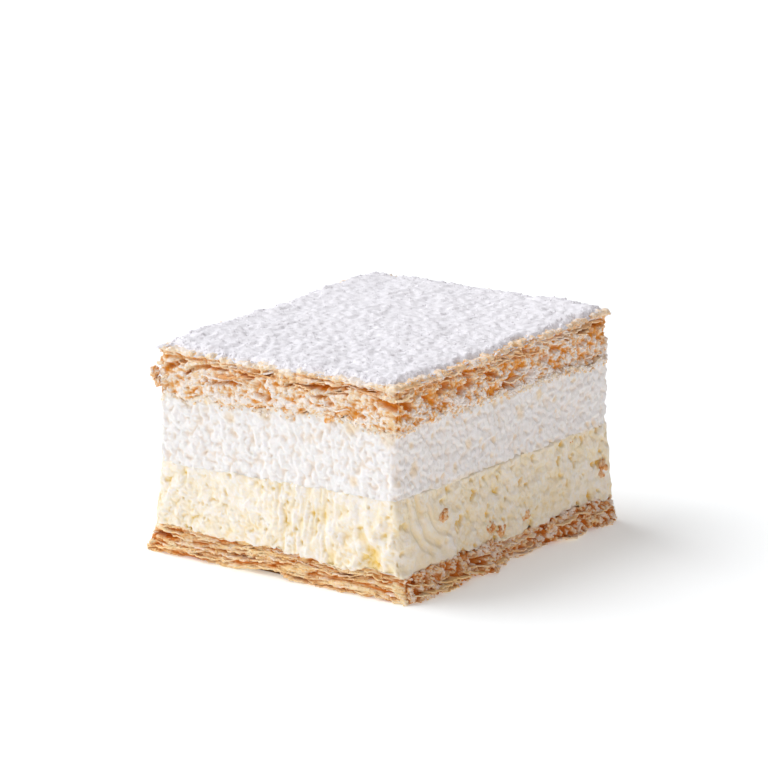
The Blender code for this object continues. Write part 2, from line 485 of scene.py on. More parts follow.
def noiseAt(tree, x, y, vector, scale, detail, roughness=0.55):
    node = nodeAt(tree, "ShaderNodeTexNoise", x, y)
    feed(tree, node.inputs["Vector"], vector)
    feed(tree, node.inputs["Scale"], scale)
    setSockets(node, {"Detail": detail, "Roughness": roughness})
    return node.outputs["Fac"]


def spread(tree, x, y, value, low, high):
    node = nodeAt(tree, "ShaderNodeMapRange", x, y, interpolation_type="SMOOTHSTEP")
    for label, given in (("Value", value), ("From Min", low), ("From Max", high)):
        feed(tree, node.inputs[label], given)
    return node.outputs["Result"]


# two tones in soft clouds with a finer speckle over them
def makeMottle():
    group, given, made = newGroup("mottle", {
        "Vector": None, "Light": (1, 1, 1, 1), "Dark": (0.5, 0.5, 0.5, 1), "Scale": 300.0, "Speckle": 0.5,
    }, "Colour", "Color")
    clouds = noiseAt(group, -600, 200, given["Vector"], given["Scale"], 2.0)
    fineScale = maths(group, -780, -100, "MULTIPLY", given["Scale"], 5.0)
    fine = noiseAt(group, -600, -100, given["Vector"], fineScale, 2.0)
    fine = maths(group, -400, -100, "SUBTRACT", fine, 0.5)
    fine = maths(group, -220, -100, "MULTIPLY", fine, given["Speckle"])
    both = maths(group, -40, 100, "ADD", clouds, fine)
    mask = spread(group, 140, 100, both, 0.35, 0.65)
    group.links.new(mixColours(group, 400, 100, mask, given["Dark"], given["Light"]), made)
    return group


# fine grain for a bump: coarse crumbs, small crumbs and dust
def makeGrain():
    group, given, made = newGroup("grain", {
        "Vector": None, "Scale": 1500.0, "Dust": 0.4,
    }, "Height", "Float")
    coarse = noiseAt(group, -500, 200, given["Vector"], given["Scale"], 2.0)
    dustScale = maths(group, -700, -100, "MULTIPLY", given["Scale"], 2.7)
    dust = noiseAt(group, -500, -100, given["Vector"], dustScale, 1.0)
    dust = maths(group, -250, -100, "MULTIPLY", dust, given["Dust"])
    group.links.new(maths(group, 0, 100, "ADD", coarse, dust), made)
    return group


# powdered sugar lying on a surface: more where the given amount is high and on what faces up
def makeDusting():
    group, given, made = newGroup("sugar dusting", {
        "Vector": None, "Colour": (0.6, 0.4, 0.2, 1), "Sugar": (0.9, 0.89, 0.9, 1),
        "Amount": 0.4, "Scale": 1200.0,
    }, "Colour", "Color")
    grains = noiseAt(group, -600, 100, given["Vector"], given["Scale"], 3.0, 0.7)
    normal = nodeAt(group, "ShaderNodeNewGeometry", -800, -200)
    parts = nodeAt(group, "ShaderNodeSeparateXYZ", -620, -200)
    group.links.new(normal.outputs["Normal"], parts.inputs[0])
    up = maths(group, -440, -200, "MULTIPLY", parts.outputs["Z"], 0.10)
    level = maths(group, -250, 0, "ADD", grains, up)
    share = maths(group, -440, -350, "MULTIPLY", given["Amount"], 0.62)
    edge = maths(group, -250, -350, "SUBTRACT", 0.72, share)
    top = maths(group, -60, -350, "ADD", edge, 0.24)
    mask = spread(group, 140, 0, level, edge, top)
    group.links.new(mixColours(group, 400, 0, mask, given["Colour"], given["Sugar"]), made)
    return group


mottle = makeMottle()
grain = makeGrain()
dusting = makeDusting()
print("shader groups are ready")


# materials

def useGroup(tree, group, x, y, **values):
    node = nodeAt(tree, "ShaderNodeGroup", x, y, node_tree=group)
    for label, value in values.items():
        feed(tree, node.inputs[label], value)
    return node.outputs[0]


def readMark(tree, name, x, y):
    return nodeAt(tree, "ShaderNodeAttribute", x, y, attribute_name=name).outputs["Fac"]


# light and dark are the two tones of the surface, and each mark in tones turns it towards another.
# The cavity tone is painted shade in hollows, creases and pits. Softness is how much light goes into
# the surface, and glowDepth how far, in mm.
sugarLook = {
    "light": (0.915, 0.90, 0.95, 1), "dark": (0.865, 0.85, 0.90, 1), "tones": {},
    "roughness": 0.9, "gloss": 0.1, "softness": 0.1, "glow": (1.0, 1.0, 1.0), "glowDepth": 0.4,
    "cloudScale": 320.0, "speckle": 0.8, "grainScale": 1500.0, "grainDust": 0.5, "bump": 0.3,
}
creamLook = {
    "light": (0.93, 0.915, 0.91, 1), "dark": (0.92, 0.89, 0.87, 1),
    # the cavity tone is painted warm shade in the dimples
    "tones": {"cavity_shade": (0.90, 0.76, 0.62, 1), "stain": (0.91, 0.72, 0.47, 1)},
    "roughness": 0.6, "gloss": 0.2, "softness": 0.2, "glow": (1.0, 0.85, 0.7), "glowDepth": 0.6,
    "cloudScale": 420.0, "speckle": 0.9, "grainScale": 1000.0, "grainDust": 0.5, "bump": 0.45,
}
custardLook = {
    "light": (0.95, 0.905, 0.855, 1), "dark": (0.95, 0.865, 0.72, 1),
    # the cavity tone is painted yellow shade in the pits
    "tones": {"cavity_shade": (0.93, 0.65, 0.15, 1)},
    "roughness": 0.38, "gloss": 0.5, "softness": 0.12, "glow": (1.0, 0.7, 0.35), "glowDepth": 0.6,
    "cloudScale": 300.0, "speckle": 0.8, "grainScale": 900.0, "grainDust": 0.5, "bump": 0.5,
}
# dust is what little sugar looks like over the crust, sugar what much of it does
lidLook = {
    "light": (0.97, 0.82, 0.62, 1), "dark": (0.96, 0.71, 0.41, 1),
    # the cavity tone is painted orange-brown shade in the crevices and holes
    "tones": {"cavity_shade": (0.81, 0.31, 0.03, 1)},
    "dust": (0.97, 0.83, 0.73, 1), "sugar": (0.97, 0.92, 0.89, 1), "roughness": 0.65, "gloss": 0.25,
    "cloudScale": 230.0, "speckle": 1.2, "grainScale": 1500.0, "grainDust": 0.6, "bump": 0.6,
    "sugarScale": 1700.0, "squash": (1, 1, 3),
}
baseLook = dict(lidLook, **{
    "light": (0.97, 0.80, 0.52, 1), "dark": (0.97, 0.66, 0.30, 1),
    # the cavity tone is painted orange-brown shade in the crevices and holes
    "tones": {"cavity_shade": (0.65, 0.19, 0.015, 1)},
    "dust": (0.97, 0.75, 0.58, 1), "sugar": (0.97, 0.85, 0.76, 1), "roughness": 0.6, "gloss": 0.3,
})


bumpHeight = 0.3 * mm


def surfaceColour(tree, place, look):
    clouds = place
    if "squash" in look:
        squash = nodeAt(tree, "ShaderNodeMapping", -1300, 200)
        setSockets(squash, {"Scale": look["squash"]})
        tree.links.new(place, squash.inputs["Vector"])
        clouds = squash.outputs[0]
    colour = useGroup(tree, mottle, -1100, 200, Vector=clouds, Light=look["light"], Dark=look["dark"],
                      Scale=look["cloudScale"], Speckle=look["speckle"])
    for number, (mark, tone) in enumerate(look["tones"].items()):
        amount = readMark(tree, mark, -1100 + 200 * number, -50)
        colour = mixColours(tree, -900 + 200 * number, 200, amount, colour, tone)
    if "sugar" not in look:
        return colour
    dust = readMark(tree, "dust", -1100, -250)
    powder = mixColours(tree, -850, -250, dust, look["dust"], look["sugar"])
    return useGroup(tree, dusting, -550, 200, Vector=place, Colour=colour, Sugar=powder,
                    Amount=dust, Scale=look["sugarScale"])


def makeMaterial(name, look):
    material = bpy.data.materials.new(name)
    material.use_nodes = True
    tree = material.node_tree
    shader = tree.nodes["Principled BSDF"]
    setSockets(shader, {"Roughness": look["roughness"], "Specular IOR Level": look["gloss"]})
    if "softness" in look:
        setSockets(shader, {"Subsurface Weight": look["softness"], "Subsurface Radius": look["glow"],
                            "Subsurface Scale": look["glowDepth"] * mm})
    place = nodeAt(tree, "ShaderNodeTexCoord", -1500, 0).outputs["Object"]
    tree.links.new(surfaceColour(tree, place, look), shader.inputs["Base Color"])
    height = useGroup(tree, grain, -700, -400, Vector=place,
                      Scale=look["grainScale"], Dust=look["grainDust"])
    bump = nodeAt(tree, "ShaderNodeBump", -250, -400)
    setSockets(bump, {"Strength": look["bump"], "Distance": bumpHeight})
    tree.links.new(height, bump.inputs["Height"])
    tree.links.new(bump.outputs["Normal"], shader.inputs["Normal"])
    return material


# custard and cream lean in and out together at the near corner
def cornerWobble(p, along):
    return 0.7 * waves(p, 4.5, 19) * ease(1 - abs(along) / 5)


# pastry: thin wavy leaves, or crumbs in lumps with holes between them

def leafRelief(p, seed):
    q = Vector((p.x, p.y, p.z + (0.9 * waves(p, 15, seed) + 0.4 * waves(p, 5, seed + 1)) * mm)) / mm
    broad = streaks(q, (10, 10, 1.5), seed + 2)
    thin = streaks(q, (5, 5, 0.8), seed + 3)
    fine = streaks(q, (2.2, 2.2, 0.45), seed + 4)
    end = ease((streaks(q, (3.2, 3.2, 1.7), seed + 5) + 0.05) / 0.14)
    crack = ease(1 - abs(broad) / 0.09)
    crease = ease(1 - abs(thin) / 0.08)
    stand = 0.7 * broad + 0.45 * thin + 0.2 * fine + 0.4 * end - 0.6 * crack - 0.4 * crease
    # the second value is painted shade, dark in the cracks and creases between leaves
    return stand, 0.3 - 1.1 * broad - 1.1 * thin - 0.7 * fine - 0.3 * end + 0.7 * crack + 0.5 * crease


def crumbRelief(p, seed):
    q = wander(p, 2.5, seed, 0.8)
    chunk, gap = lumps(q, 4.2, seed + 3)
    small, cleft = lumps(q, 1.8, seed + 4)
    middle, fine = waves(p, 1.3, seed + 7), waves(p, 0.75, seed + 5)
    hole = pits(q, 3.4, 0.22, seed + 6)
    stand = 0.7 * chunk + 0.45 * small + 0.5 * middle + 0.25 * fine
    stand -= 0.5 * max(0.0, stand) + 0.6 * gap + 0.4 * cleft + 2.0 * hole
    # the second value is painted shade in the gaps, clefts and holes between crumbs
    cavity_shade = 0.2 - 0.4 * chunk - 0.5 * small - 1.2 * middle - fine
    return stand, cavity_shade + 0.5 * gap + 0.4 * cleft + 1.1 * hole


# bottom pastry

# how far the torn right edge stands out, by the distance from the near corner
baseSteps = [(0, 0.2), (8, 0.5), (16, 0.6), (23, 0.4), (28, -1.0), (34, 1.6), (40, -0.8), (46, -2.9),
             (53, -1.6), (60, -2.8), (66, -0.9), (74, -0.7), (88, 0.0)]


def baseStep(along, level):
    if along < 0:
        return 0.0
    for (a0, d0), (a1, d1) in zip(baseSteps, baseSteps[1:]):
        if along <= a1:
            return mix(d0, d1, ease((along - a0) / (a1 - a0))) * (1 - 0.6 * level)
    return baseSteps[-1][1]


# along the cut, height, half length, half height, depth, slope
baseHollows = [
    (-68.0, 4.6, 5.0, 0.6, 2.4, 0.05),
    (-46.0, 3.4, 7.0, 0.5, 1.6, -0.06),
    (-14.0, 4.4, 6.0, 0.5, 1.6, 0.1),
]


def baseRelief(p, along, tall, down, rightness):
    leaf, leafCavityShade = leafRelief(p, 1.0)
    crumb, crumbCavityShade = crumbRelief(p, 2.0)
    crumbs = 0.10 + 0.8 * ease(rightness * 1.5 - 0.3)
    opened = hollowDepth(baseHollows, along, tall + 0.4 * waves(p, 4, 9))
    # the cavity mark is painted shade, deepest in the hollows
    cavity_shade = mix(leafCavityShade, 1.1 * crumbCavityShade + 0.08, crumbs) + opened / 2
    dust = 0.42 + 0.34 * rightness + 0.3 * waves(p, 3, 8) - 0.85 * clamp(cavity_shade)
    return mix(leaf, 1.4 * crumb, crumbs) - opened, (clamp(1.1 * cavity_shade) ** 1.3, dust)


basePiece = {
    "marks": ("cavity_shade", "dust"), "grain": 0.34, "rowGrain": 0.2, "rounding": 0.8,
    "foot": (5.9, 4.8, 0.4, -1.2), "head": (2.4, 2.6, -0.4, -0.8),
    "under": 3.0, "tall": 8.4, "over": 6.0, "zero": 0.0,
    "floor": baseUnderside, "ceiling": baseSeam, "steps": baseStep, "relief": baseRelief,
}
# onRight is the share of the leaves that stay on the right and left sides, which are crumbly
# deep is how much painted shade a leaf gets, dust how much sugar
baseLeaves = {
    "seed": 5, "count": 190, "levels": (0.03, 0.97), "length": (7, 24), "tilt": 0.10, "reach": (-0.1, 0.9),
    "curl": (-0.7, 0.6), "thick": (0.22, 0.42), "deep": (0.0, 0.55), "dust": (0.0, 0.5),
    "onRight": 0.3,
}


# custard

# three curved strokes that the knife left, as shallow slits
custardStrokes = [
    (1.2, 0.5, [(5.2, 16.4), (6.4, 10.5), (9.2, 6.0), (13.6, 3.2)]),
    (1.4, 0.6, [(8.6, 17.4), (9.8, 11.5), (12.4, 7.0), (17.0, 4.3)]),
    (1.0, 0.4, [(12.6, 15.0), (14.0, 10.8), (17.0, 7.6), (21.5, 6.0)]),
]


def custardRelief(p, along, tall, down, rightness):
    onFront = 1 - rightness
    torn = ease(0.55 + 0.9 * waves(p, 8, 20) + 0.5 * onFront * (0.5 - tall / 17))
    swept = rightness * ease(1.4 - abs(along - 11) / 10) * ease(1.6 - tall / 14)
    calm = mix(0.55, 1.15, torn) * mix(1.0, 0.75, rightness) * (1 - 0.7 * swept)
    broad, middle, small = waves(p, 2.9, 11), waves(p, 1.5, 12), waves(p, 0.8, 13)
    crease = ease(1 - abs(waves(p, 2.4, 18)) / 0.10)
    dragged = onFront * ease((along + 42) / 8) * ease((-14 - along) / 8)
    drag = streaks(p / mm, (0.8, 0.8, 9), 14) * dragged
    corner = onFront * ease((along + 26) / 12) * ease(1.35 - tall / 14)
    fold = 1.7 * streaks(p / mm, (3.4, 3.4, 4.5), 15) * corner
    q = wander(p, 1.5, 101, 1.4)
    pit = pits(q, mix(1.9, 2.9, rightness), mix(0.2, 0.37, rightness) + 0.12 * torn, 16) * (1 - swept)
    hole = pits(q, 1.3, 0.2, 33) * calm
    stand = 0.5 * waves(p, 7, 17) + 0.45 * broad + calm * (0.42 * middle + 0.24 * small - 0.2 * crease)
    stroke = slitDepth(custardStrokes, along, tall)
    wobble = cornerWobble(p, along)
    stand += 0.5 * drag + fold + wobble + 0.5 * swept
    stand -= mix(0.6, 1.3, rightness) * pit + 0.35 * hole + stroke
    # the cavity mark is painted shade in the pits, creases, strokes and folds, with more on the right side,
    # which lies in shade
    cavity_shade = calm * (0.45 * ease(-0.2 - 1.1 * middle - 1.1 * small) + 0.2 * crease)
    cavity_shade += 0.1 * torn - 0.2 * broad
    cavity_shade += mix(0.75, 1.05, rightness) * pit + 0.3 * hole - 0.6 * drag + 0.12 * rightness
    cavity_shade += 0.6 * corner * ease(0.1 - fold)
    return stand, (cavity_shade + 0.3 * stroke,)


custardPiece = {
    "marks": ("cavity_shade",), "grain": 0.31, "rowGrain": 0.31, "rounding": 0.15,
    "foot": (1.4, 2.0, 1.6, 0.6), "head": (0.6, 0.1, 0.3, 0.1),
    "under": 1.2, "tall": 17.0, "over": 1.8, "zero": 6.7 * mm,
    "floor": lambda x, y: baseSeam(x, y) - 0.4 * mm, "ceiling": custardSeam,
    "relief": custardRelief,
}


# whipped cream

# peach spots where crumbs of pastry show through: along, height, radius and how strong
creamSpots = [(-56.6, 17.2, 0.9, 1.0), (-49.2, 14.2, 1.6, 0.5), (-38.6, 16.6, 1.8, 0.6),
              (-13.1, 17.7, 2.0, 0.7), (-1.9, 16.3, 2.2, 0.5), (-12.0, 4.5, 1.4, 0.6), (7.8, 7.5, 1.8, 0.7),
              (30.0, 9.0, 1.6, 0.6), (52.0, 12.0, 1.8, 0.6), (60.0, 15.0, 1.4, 0.8), (24.0, 4.0, 1.2, 0.5)]


def creamRelief(p, along, tall, down, rightness):
    q = wander(p, 1.6, 201, 0.5)
    curd, grit = lumps(q, 1.6, 21)[0], lumps(p, 1.0, 31)[0]
    foam, froth = waves(p, 2.1, 23), waves(p, 1.05, 22)
    calm = mix(1.0, 0.75, rightness)
    hole, speck = pits(q, 1.4, 0.3, 32), pits(q, 2.5, 0.28, 24) * rightness
    stand = calm * (0.55 * curd + 0.2 * grit + 0.3 * foam + 0.2 * froth - 0.4 * hole) - 0.35 * speck
    stand += 0.4 * waves(p, 6, 25) + cornerWobble(p, along)
    # the cavity mark is painted warm shade in the low places and holes, with a little more on the shaded
    # right side
    low = ease(-0.3 - 1.3 * curd - 0.6 * grit - 1.1 * foam - 0.7 * froth)
    cavity_shade = calm * (0.6 * low + 0.45 * hole) + 0.05 * rightness
    stain = 0.75 * speck
    alongHere, tallHere = along + 0.6 * waves(p, 1.4, 26), tall + 0.6 * waves(p, 1.4, 27)
    for spotAlong, spotTall, radius, strength in creamSpots:
        off = math.hypot(alongHere - spotAlong, tallHere - spotTall)
        stain = max(stain, strength * ease(1.4 - off / radius))
    stain = max(stain, 0.75 * ease(0.9 - down / 1.6 + 1.2 * waves(p, 2.2, 28)))
    stain = max(stain, 0.5 * rightness * ease(1 - tall / 2.5 + 0.8 * waves(p, 3, 29)))
    return stand, (cavity_shade, stain)


creamPiece = {
    "marks": ("cavity_shade", "stain"), "grain": 0.31, "rowGrain": 0.31, "rounding": 0.15,
    "foot": (0.6, 0.1, 0.3, 0.1), "head": (0.4, 0.1, 0.1, -0.3),
    "under": 1.8, "tall": 18.4, "over": 2.4, "zero": creamLow.z,
    "floor": lambda x, y: custardSeam(x, y) - 0.35 * mm,
    "ceiling": lambda x, y: creamSeam(x, y) + 0.3 * mm, "relief": creamRelief,
}


# top pastry

# how far it gapes, depth, path
lidSlits = [
    (0.8, 1.8, [(-67.6, 7.1), (-62.3, 9.3)]),
    (0.7, 1.9, [(-62.5, 6.4), (-59.4, 7.9), (-57.4, 8.8), (-49.7, 8.6)]),
    (0.7, 1.8, [(-39.4, 9.1), (-36.4, 10.6)]),
    (0.55, 1.5, [(-56.4, 5.5), (-54.9, 4.6), (-49.8, 5.9), (-46.1, 5.8)]),
    (0.65, 2.0, [(-32.6, 8.1), (-26.8, 8.4), (-21.4, 9.2), (-11.8, 10.3), (-10.3, 10.7),
                (-7.6, 9.4), (-5.5, 8.4), (-1.4, 7.8)]),
    (0.5, 1.5, [(-25.1, 6.3), (-21.9, 6.8), (-18.7, 8.3), (-15.0, 8.7)]),
    (0.8, 1.8, [(33.1, 9.4), (41.9, 6.1)]),
    (0.6, 1.4, [(42.8, 3.9), (51.3, 2.1)]),
    (0.7, 2.2, [(68.0, 9.6), (73.2, 9.2)]),
]
# along the cut, height, half length, half height, depth, slope
lidHollows = [
    (-44.0, 8.2, 2.2, 0.9, 2.0, 0.2),
    (-38.8, 3.9, 2.8, 0.8, 1.4, -0.2),
    (-2.6, 7.0, 3.4, 0.9, 2.4, -0.2),
    (3.9, 7.2, 2.6, 1.3, 2.4, -0.4),
    (11.6, 7.0, 1.3, 0.9, 1.8, 0.0),
    (19.7, 9.0, 1.7, 1.4, 2.4, 0.0),
    (29.8, 7.0, 2.0, 1.1, 2.2, 0.0),
    (26.0, 6.0, 1.8, 1.1, 1.8, 0.0),
    (28.7, 9.5, 2.4, 0.8, 2.0, -0.4),
    (49.5, 9.9, 6.5, 1.1, 2.0, 0.0),
    (65.9, 7.8, 2.6, 0.9, 2.0, 0.0),
    (62.1, 6.4, 2.6, 0.8, 1.6, 0.0),
    (55.5, 4.0, 1.3, 0.8, 1.4, 0.0),
    (81.5, 10.2, 7.0, 1.2, 2.2, 0.0),
    (80.3, 7.4, 4.0, 0.6, 1.3, 0.35),
]


def lidRelief(p, along, tall, down, rightness):
    crumb, crumbCavityShade = crumbRelief(p, 31.0)
    leaf, leafCavityShade = leafRelief(p, 41.0)
    leafy = mix(0.4, 0.2, rightness)
    alongHere, tallHere = along + 0.8 * waves(p, 2.6, 51), tall + 0.45 * waves(p, 2.2, 52)
    opened = max(slitDepth(lidSlits, alongHere, tallHere), hollowDepth(lidHollows, alongHere, tallHere))
    band = ease(1 - abs(down - 1.7 - 0.7 * waves(p, 7, 53)) / 0.7) * ease(0.7 + 1.8 * waves(p, 9, 54))
    opened = max(opened, mix(1.0, 1.8, rightness) * band)
    edge = ease((1.2 - down) / 0.6)
    torn = 0.9 * waves(p, 1.8, 56) + 0.6 * waves(p, 0.8, 57)
    stand = mix(crumb, leaf, leafy) * (1 - 0.5 * edge) + (0.4 + torn) * edge - opened
    # the cavity mark is painted shade, deepest in the slits, hollows and the band under the top leaf
    cavity_shade = mix(crumbCavityShade, leafCavityShade, leafy) * (1 - 0.6 * edge) - 0.3 * torn * edge
    cavity_shade = max(cavity_shade, 0.1 + 0.6 * cavity_shade + 0.38 * opened) - mix(0.12, 0.09, rightness)
    lower = ease((8.0 - tall - waves(p, 6, 58)) / 3)
    cavity_shade += 0.3 * rightness * edge - 0.12 * lower
    dust = 0.58 + 0.14 * lower + 0.08 * rightness - 0.2 * ease(1 - abs(along) / 9)
    return stand, (clamp(cavity_shade) ** 1.4, dust + 0.2 * waves(p, 4, 55) - 0.85 * clamp(cavity_shade))


lidPiece = {
    "marks": ("cavity_shade", "dust"), "grain": 0.34, "rowGrain": 0.22, "rounding": 0.7, "skew": 2.4,
    "foot": (1.7, 0.6, 0.8, 0.9), "head": (1.9, 0.1, 0.3, 1.9),
    "under": 1.8, "tall": 11.2, "over": 4.8, "zero": lidLow.z,
    "floor": creamSeam, "ceiling": lidSkin, "relief": lidRelief,
}
# the uppermost leaf, whose torn edge hangs over the side
lidEdge = {
    "seed": 71, "count": 60, "levels": (0.84, 0.93), "length": (4, 13), "tilt": 0.05, "reach": (-0.5, 0.6),
    "curl": (-0.8, 0.1), "thick": (0.3, 0.5), "deep": (0.1, 0.5), "dust": (0.1, 0.55), "onRight": 0.8,
}
# leaves deep in the openings
# their high deep values paint them in shade
lidInner = {
    "seed": 72, "count": 90, "levels": (0.62, 0.88), "length": (6, 18), "tilt": 0.07, "reach": (-1.1, 0.1),
    "curl": (-0.6, 0.6), "thick": (0.25, 0.4), "deep": (0.35, 0.8), "dust": (0.0, 0.35), "onRight": 0.8,
}
lidLower = {
    "seed": 73, "count": 60, "levels": (0.08, 0.62), "length": (5, 13), "tilt": 0.08, "reach": (-0.5, 0.3),
    "curl": (-0.5, 0.5), "thick": (0.3, 0.5), "deep": (0.05, 0.4), "dust": (0.25, 0.65), "onRight": 0.3,
}


# single curls: two by the near left edge, the others round the near corner
lidCurls = [
    {"along": -70.6, "level": 0.62, "length": 4.0, "reach": 0.5, "curl": 0.5, "deep": 0.4},
    {"along": -69.0, "level": 0.42, "length": 4.0, "reach": 0.4, "curl": -0.6, "deep": 0.4},
    {"along": 1.5, "level": 0.74, "length": 7.0, "reach": 0.7, "curl": 0.6, "deep": 0.3},
    {"along": 3.5, "level": 0.84, "length": 6.0, "reach": 0.8, "curl": -0.5, "deep": 0.25},
    {"along": -3.0, "level": 0.80, "length": 6.0, "reach": 0.6, "curl": -0.3, "deep": 0.3},
]


def buildCurls(material):
    bm, marks = startPiece(lidPiece["marks"])
    for number, curl in enumerate(lidCurls):
        leaf = dict(curl, share=shareAt(curl["along"]), tilt=0.05, depth=4.0, thick=0.6, dust=0.2)
        addLeaf(bm, marks, lidPiece, leaf, 74 + 0.61 * number)
    bmesh.ops.recalc_face_normals(bm, faces=bm.faces)
    return makeObject("top_curls", bm, material, smooth=False)


# powdered sugar

sugarPiece = {
    "grain": 0.34, "thick": 1.15, "fade": 4.0, "sink": 0.6, "corner": 1.6,
    "bareFront": 0.7, "bareRight": 1.9, "bareReach": 8.0, "covered": 1.5, "rimTuck": 0.96, "rimDrop": 1.2,
    "rimGrains": 2200, "grainRadius": (0.10, 0.24), "grainSunk": 0.2,
    "clumps": 5400, "clumpRadius": (0.3, 0.65), "clumpSunk": 0.75,
}


def sugarHeight(x, y, toRim):
    p = Vector((x, y, 0))
    q = p + Vector((waves(p, 2.5, 88), waves(p, 2.5, 89), 0)) * 0.9 * mm
    relief = 0.4 * waves(p, 5, 83) + 0.28 * lumps(q, 3.2, 81)[0] + 0.24 * lumps(q, 1.6, 82)[0]
    relief += 0.22 * waves(p, 1.8, 87) + 0.1 * waves(p, 0.9, 84)
    relief *= mix(0.95, 0.45, ease(0.5 + y / (90 * mm))) * mix(0.7, 1.0, ease(0.5 + x / (60 * mm)))
    toRight = block["middle"].x + block["halfWidth"] - x
    toFront = y - block["middle"].y + block["halfDepth"]
    worn = 1.6 * waves(p, 5, 85) + 1.2 * waves(p, 1.9, 86) + 0.7 * waves(p, 0.9, 80)
    worn += sugarPiece["covered"]
    worn -= sugarPiece["bareRight"] * ease(1 - toRight / (sugarPiece["bareReach"] * mm))
    worn -= sugarPiece["bareFront"] * ease(1 - toFront / (sugarPiece["bareReach"] * mm))
    rise = ease((toRim + worn) / sugarPiece["fade"])
    cover = mix(-sugarPiece["sink"], sugarPiece["thick"], rise)
    return lidSkin(x, y) + (cover + relief * mix(0.7, 1.0, rise)) * mm


def sugarPlace(u, v):
    radius = sugarPiece["corner"] * mm
    point = Vector((u * block["halfWidth"], v * block["halfDepth"]))
    past = Vector((abs(point.x) - block["halfWidth"] + radius, abs(point.y) - block["halfDepth"] + radius))
    if past.x > 0 and past.y > 0:
        pull = past * (max(past) / past.length - 1)
        point += Vector((math.copysign(pull.x, u), math.copysign(pull.y, v)))
    toRim = min((1 - abs(u)) * block["halfWidth"], (1 - abs(v)) * block["halfDepth"]) / mm
    left, right, front, rear = (side * mm for side in lidPiece["head"])
    point += Vector((mix(-left, right, (1 + u) / 2), mix(-front, rear, (1 + v) / 2)))
    point.x -= lidPiece["skew"] * mm * v / 2
    x, y = point.x + block["middle"].x, point.y + block["middle"].y
    return Vector((x, y, sugarHeight(x, y, toRim)))


def buildSugar(material):
    across = round(2 * block["halfWidth"] / (sugarPiece["grain"] * mm))
    along = round(2 * block["halfDepth"] / (sugarPiece["grain"] * mm))
    bm = bmesh.new()
    bmesh.ops.create_grid(bm, x_segments=across, y_segments=along, size=1)
    rim = [e for e in bm.edges if e.is_boundary]
    for vert in bm.verts:
        vert.co = sugarPlace(vert.co.x, vert.co.y)
    sides = bmesh.ops.extrude_edge_only(bm, edges=rim)["geom"]
    # the rim turns down and in, so that the sugar is a closed piece
    tuck, drop = sugarPiece["rimTuck"], sugarPiece["rimDrop"] * mm
    for vert in (part for part in sides if isinstance(part, bmesh.types.BMVert)):
        vert.co = Vector((vert.co.x * tuck, vert.co.y * tuck, vert.co.z - drop))
    bmesh.ops.contextual_create(bm, geom=[e for e in bm.edges if e.is_boundary])
    bmesh.ops.recalc_face_normals(bm, faces=bm.faces)
    return makeObject("powdered_sugar", bm, material)


# loose grains along the rim, and clumps sunk into the sugar all over the top
def sugarGrains():
    dice = random.Random(91)
    spots = []
    for number in range(sugarPiece["rimGrains"] + sugarPiece["clumps"]):
        u, v = dice.uniform(-0.97, 0.97), dice.uniform(-0.97, 0.97)
        radius, sunk = dice.uniform(*sugarPiece["clumpRadius"]), sugarPiece["clumpSunk"]
        if number < sugarPiece["rimGrains"]:
            v = math.copysign(1 - 0.05 * abs(dice.gauss(0, 1)), v)
            radius, sunk = dice.uniform(*sugarPiece["grainRadius"]), sugarPiece["grainSunk"]
            if dice.random() < 0.5:
                u, v = v, u
        place = sugarPlace(clamp(u, -0.985, 0.985), clamp(v, -0.985, 0.985))
        place.z = max(place.z, lidSkin(place.x, place.y)) - sunk * radius * mm
        spots.append((place, radius))
    return spots


# bits stuck to a side, at levels from 0 at its foot to 1 at its head, with more or less dust than it has
lidBits = {"seed": 92, "count": 3400, "radius": (0.14, 0.36), "dust": (-0.2, 0.25), "levels": (0.0, 0.95)}
seamBits = {"seed": 94, "count": 900, "radius": (0.16, 0.45), "dust": (0.1, 0.5), "levels": (0.9, 1.0)}
baseBits = {"seed": 93, "count": 2600, "radius": (0.14, 0.38), "dust": (-0.35, 0.05), "levels": (0.0, 1.0)}


# more of them lie where the pastry is crumbly, and none in a deep opening
def sideGrains(layer, bits):
    dice = random.Random(bits["seed"])
    spots = []
    while len(spots) < bits["count"]:
        share, level = dice.random(), dice.uniform(*bits["levels"])
        out = outlinePoint(share)[1]
        if dice.random() > 0.35 + 0.65 * abs(out.x):
            continue
        place, marks, facing = placeOnLayer(layer, share, layer["under"] + level * layer["tall"])
        if marks[0] > 0.6:
            continue
        radius = dice.uniform(*bits["radius"])
        deep, dust = marks[0] + dice.uniform(-0.3, 0.2), marks[1] + dice.uniform(*bits["dust"])
        spots.append((place + facing * 0.1 * radius * mm, radius, deep, dust))
    return spots


# larger crumbs: toasted ones caught in the custard, and pieces about to fall off the pastry

# each is (along the cut, height, radius, turn, how far it stands out)
crumbPiece = {
    "custard": [(18.4, 17.3, 2.1, 0.5, -0.4), (37.0, 9.4, 2.6, 0.9, -0.6), (52.1, 9.8, 1.8, 0.2, -0.5),
                (86.0, 13.8, 2.5, 1.2, -0.8), (74.1, 23.4, 0.8, 0.0, -0.2), (41.5, 8.4, 1.8, 0.4, -0.4)],
    "lid": [(-70.8, 45.6, 2.2, 0.3, 1.3), (-70.4, 43.4, 1.5, 1.1, 0.4), (4.0, 43.0, 1.7, 0.4, -0.3),
            (14.0, 43.4, 1.6, 1.0, -0.3), (22.0, 44.0, 1.9, 0.1, -0.3), (33.0, 43.6, 1.5, 0.7, -0.3),
            (-20.0, 42.8, 1.6, 0.5, -0.4), (-33.0, 42.6, 1.4, 1.3, -0.4)],
    "base": [(6.0, 4.6, 1.9, 0.2, -0.5), (15.0, 5.0, 2.2, 0.9, -0.5), (24.0, 3.4, 1.8, 0.4, -0.4),
             (36.0, 5.4, 2.1, 1.2, -0.5), (49.0, 4.2, 1.7, 0.6, -0.4), (63.0, 4.6, 2.0, 0.1, -0.5),
             (78.0, 4.4, 2.0, 0.8, -0.5)],
    "flatten": (0.45, 1.0, 0.7),
}


